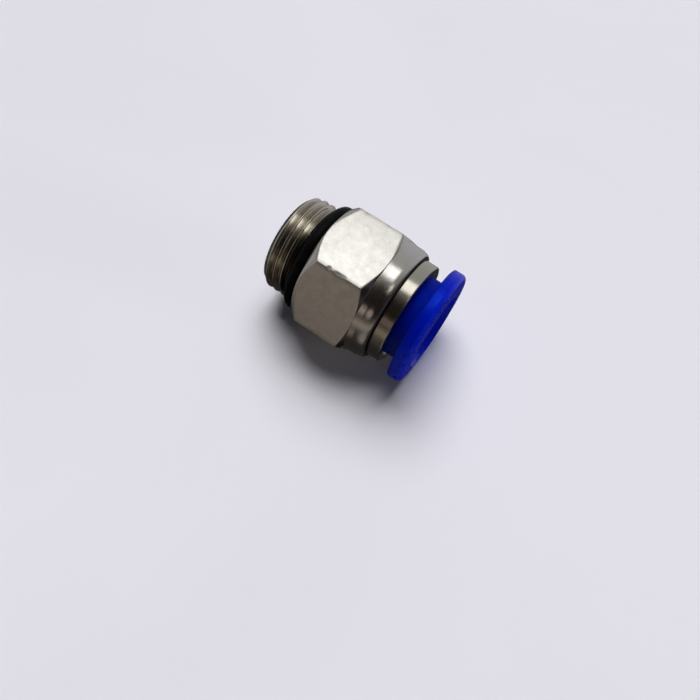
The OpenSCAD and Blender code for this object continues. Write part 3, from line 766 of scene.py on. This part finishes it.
# camera of the photograph: eye and aim in millimetres, roll about the view line in degrees
cameraView = {"eye": (29.51, -47.77, 93.23), "aim": (11.855, -10.51, 0.0), "roll": 10.11, "lens": 34.13,
              "sensor": 36.0, "clip": (0.001, 20.0)}


def makeCamera(s):
    eye, aim = Vector(s["eye"]) * mm, Vector(s["aim"]) * mm
    look = (aim - eye).normalized()
    level = look.cross(Vector((0, 0, 1))).normalized()
    upright = level.cross(look)
    roll = math.radians(s["roll"])
    right = level * math.cos(roll) + upright * math.sin(roll)
    up = upright * math.cos(roll) - level * math.sin(roll)
    data = bpy.data.cameras.new("photoCamera")
    data.lens, data.sensor_width = s["lens"], s["sensor"]
    data.clip_start, data.clip_end = s["clip"]
    camera = bpy.data.objects.new("photoCamera", data)
    bpy.context.scene.collection.objects.link(camera)
    camera.matrix_world = Matrix.Translation(eye) @ Matrix([right, up, -look]).transposed().to_4x4()
    bpy.context.scene.camera = camera


makeCamera(cameraView)

# soft studio: a panel above and behind that the metal mirrors, a wide glow and a low fill that light the
# scene, and a dim room
studio = {
    "panelTo": (0.0, 0.357, 0.934), "panelFar": 0.45, "panelAlong": (-0.42, 0.075), "panelWide": 0.201,
    "panelGlow": 1.25, "glowTo": (-0.20, 0.40, 0.895), "glowSpread": 45, "glowPower": 2.90,
    "fillTo": (0.96, 0.27, 0.035), "fillSpread": 10, "fillPower": 1.6,
    # room colour by the turn from +Y over the top to -Y, in degrees
    "room": [(-180, (0.235, 0.200, 0.170)), (-174, (0.200, 0.171, 0.146)), (-164, (0.060, 0.052, 0.046)),
             (-152, (0.030, 0.027, 0.024)), (-120, (0.020, 0.018, 0.018)), (-56, (0.030, 0.029, 0.031)),
             (-38, (0.38, 0.37, 0.39)), (0, (0.36, 0.36, 0.38)), (46, (0.30, 0.295, 0.28)),
             (92, (0.10, 0.09, 0.075)), (106, (0.012, 0.010, 0.009)), (154, (0.010, 0.008, 0.007)),
             (168, (0.055, 0.046, 0.040)), (180, (0.235, 0.200, 0.170))],
    # the room's sides along X: where the colour begins and is full, and the colour
    "sides": [(-0.55, -0.9, (0.30, 0.295, 0.30)), (0.55, 0.85, (0.03, 0.028, 0.027))],
    # small things in the room: direction, cosine at the rim and in full, colour
    "spots": [((0.30, -0.05, 0.95), 0.990, 0.997, (1.2, 1.15, 1.05)),
              ((0.0, -0.90, 0.44), 0.984, 0.993, (0.30, 0.235, 0.205)),
              ((0.20, -0.86, -0.46), 0.955, 0.985, (0.19, 0.165, 0.145))],
    "ambient": (0.032, 0.032, 0.036), "backdrop": (0.80, 0.79, 0.84),
    "floorPale": (0.87, 0.86, 0.93), "floorCloud": (0.84, 0.83, 0.90), "cloudScale": 0.01, "floorRough": 0.8,
    "floorHalf": 3.0, "floorDrop": 0.02 * mm,
}


# a light that shines from the given direction: one that is mirrored lights nothing, and the other way round
def placeLight(data, to, far, mirrored, aside=0.0):
    light = bpy.data.objects.new(data.name, data)
    bpy.context.scene.collection.objects.link(light)
    light.location = Vector(to).normalized() * far + Vector((aside, 0, 0))
    light.rotation_mode = "QUATERNION"
    light.rotation_quaternion = Vector(to).to_track_quat("Z", "Y")
    light.visible_glossy, light.visible_diffuse = mirrored, not mirrored


def makeLights(s):
    panel = bpy.data.lights.new("panelLight", "AREA")
    left, right = s["panelAlong"]
    panel.shape, panel.size, panel.size_y = "RECTANGLE", right - left, s["panelWide"]
    panel.energy = s["panelGlow"] * math.pi * panel.size * panel.size_y
    placeLight(panel, s["panelTo"], s["panelFar"], True, (left + right) / 2)
    for name in ("glow", "fill"):
        wide = bpy.data.lights.new(name + "Light", "SUN")
        wide.angle, wide.energy = math.radians(s[name + "Spread"]), s[name + "Power"]
        placeLight(wide, s[name + "To"], 1.0, False)


# the room is seen in the metal only; what it lights and what the camera sees behind the floor are plain
def makeRoom(s):
    world = bpy.data.worlds.new("room")
    bpy.context.scene.world = world
    world.use_nodes = True
    tree = world.node_tree
    direction = node(tree, "ShaderNodeTexCoord").outputs["Generated"]
    ray = node(tree, "ShaderNodeSeparateXYZ", {0: direction}).outputs
    turn = spread(tree, maths(tree, "ARCTAN2", ray["Z"], ray["Y"]), -math.pi, math.pi)
    ramp = node(tree, "ShaderNodeValToRGB", {"Fac": turn})
    stops = ramp.color_ramp.elements
    last = len(s["room"]) - 1
    for k, (degrees, colour) in enumerate(s["room"]):
        at = (degrees + 180) / 360
        stop = stops[0] if k == 0 else stops[-1] if k == last else stops.new(at)  # a ramp starts with two
        stop.position, stop.color = at, (*colour, 1.0)
    shade = ramp.outputs["Color"]
    for begins, full, colour in s["sides"]:
        shade = blendColour(tree, spread(tree, ray["X"], begins, full), shade, colour)
    for to, rim, full, colour in s["spots"]:
        near = node(tree, "ShaderNodeVectorMath", {0: direction, 1: Vector(to).normalized()},
                    operation="DOT_PRODUCT").outputs["Value"]
        shade = blendColour(tree, spread(tree, near, rim, full), shade, colour)
    path = node(tree, "ShaderNodeLightPath").outputs
    shade = blendColour(tree, path["Is Diffuse Ray"], shade, s["ambient"])
    shade = blendColour(tree, path["Is Camera Ray"], shade, s["backdrop"])
    tree.links.new(shade, tree.nodes["Background"].inputs["Color"])


def makeFloor(s):
    made, tree, shader, at = newMaterial("paleFloor")
    cloud = useGroup(tree, handling, Place=at, Scale=s["cloudScale"])["Film"]
    tree.links.new(blendColour(tree, cloud, s["floorPale"], s["floorCloud"]), shader.inputs["Base Color"])
    shader.inputs["Roughness"].default_value = s["floorRough"]
    h, z = s["floorHalf"], cadLow.z - s["floorDrop"]
    mesh = bpy.data.meshes.new("floor")
    mesh.from_pydata([(-h, -h, z), (h, -h, z), (h, h, z), (-h, h, z)], [], [(0, 1, 2, 3)])
    mesh.materials.append(made)
    floor = bpy.data.objects.new("floor", mesh)
    bpy.context.scene.collection.objects.link(floor)
    floor.visible_glossy = False


makeLights(studio)
makeRoom(studio)
makeFloor(studio)
bpy.context.scene.view_settings.view_transform = "Standard"
print("studio ready")
